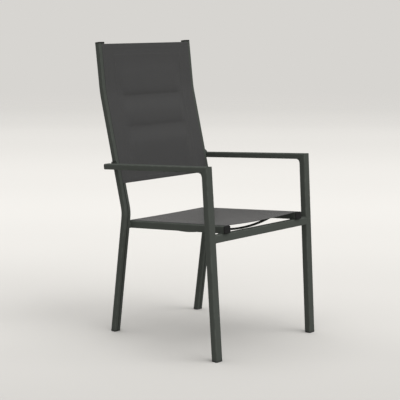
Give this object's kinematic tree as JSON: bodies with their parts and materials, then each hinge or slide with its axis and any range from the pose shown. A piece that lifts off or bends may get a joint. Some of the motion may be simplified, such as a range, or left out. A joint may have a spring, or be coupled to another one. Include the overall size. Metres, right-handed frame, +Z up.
{
  "type": "chair",
  "caption": "High-back sling patio armchair with a welded grey aluminium frame, a padded back stitched in channels, a tensioned mesh seat, curved spreader bars and black plastic caps",
  "frame": {"origin": "on the floor, under the middle of the chair's outline", "axes": "+Z is up, -Y is the way the sitter faces, +X is the sitter's left"},
  "size_m": [0.5716, 0.6578, 1.0982],
  "materials": {
    "frame": "matte anthracite powder coat with a fine grain",
    "sling": "dark grey woven vinyl-coated mesh",
    "foam": "soft quick-dry padding",
    "keder": "smooth extruded rod",
    "plastic": "black moulded plastic with a fine texture",
    "screws": "stainless button heads"
  },
  "bodies": {
    "root": {"upright_left": "frame", "upright_right": "frame", "front_leg_left": "frame", "front_leg_right": "frame", "arm_left": "frame", "arm_right": "frame", "seat_rail_left": "frame", "seat_rail_right": "frame", "front_crossbar": "frame", "rear_crossbar": "frame", "seat_spreader_front": "frame", "seat_spreader_middle": "frame", "back_spreader_lower": "frame", "back_spreader_upper": "frame", "back_sling_front_panel": "sling", "back_sling_rear_panel": "sling", "back_padding": "foam", "seat_sling": "sling", "back_keder_rod_left": "keder", "back_keder_rod_right": "keder", "seat_keder_rod_left": "keder", "seat_keder_rod_right": "keder", "upright_top_cap_left": "plastic", "upright_top_cap_right": "plastic", "arm_end_cap_left": "plastic", "arm_end_cap_right": "plastic", "seat_rail_front_cap_left": "plastic", "seat_rail_front_cap_right": "plastic", "seat_rail_rear_cap_left": "plastic", "seat_rail_rear_cap_right": "plastic", "front_foot_glide_left": "plastic", "front_foot_glide_right": "plastic", "rear_foot_glide_left": "plastic", "rear_foot_glide_right": "plastic", "seat_spreader_front_screw_left_1": "screws", "seat_spreader_front_screw_left_2": "screws", "seat_spreader_front_screw_right_1": "screws", "seat_spreader_front_screw_right_2": "screws", "seat_spreader_middle_screw_left_1": "screws", "seat_spreader_middle_screw_left_2": "screws", "seat_spreader_middle_screw_right_1": "screws", "seat_spreader_middle_screw_right_2": "screws", "back_spreader_lower_screw_left_1": "screws", "back_spreader_lower_screw_left_2": "screws", "back_spreader_lower_screw_right_1": "screws", "back_spreader_lower_screw_right_2": "screws", "back_spreader_upper_screw_left_1": "screws", "back_spreader_upper_screw_left_2": "screws", "back_spreader_upper_screw_right_1": "screws", "back_spreader_upper_screw_right_2": "screws"}
  },
  "joints": []
}
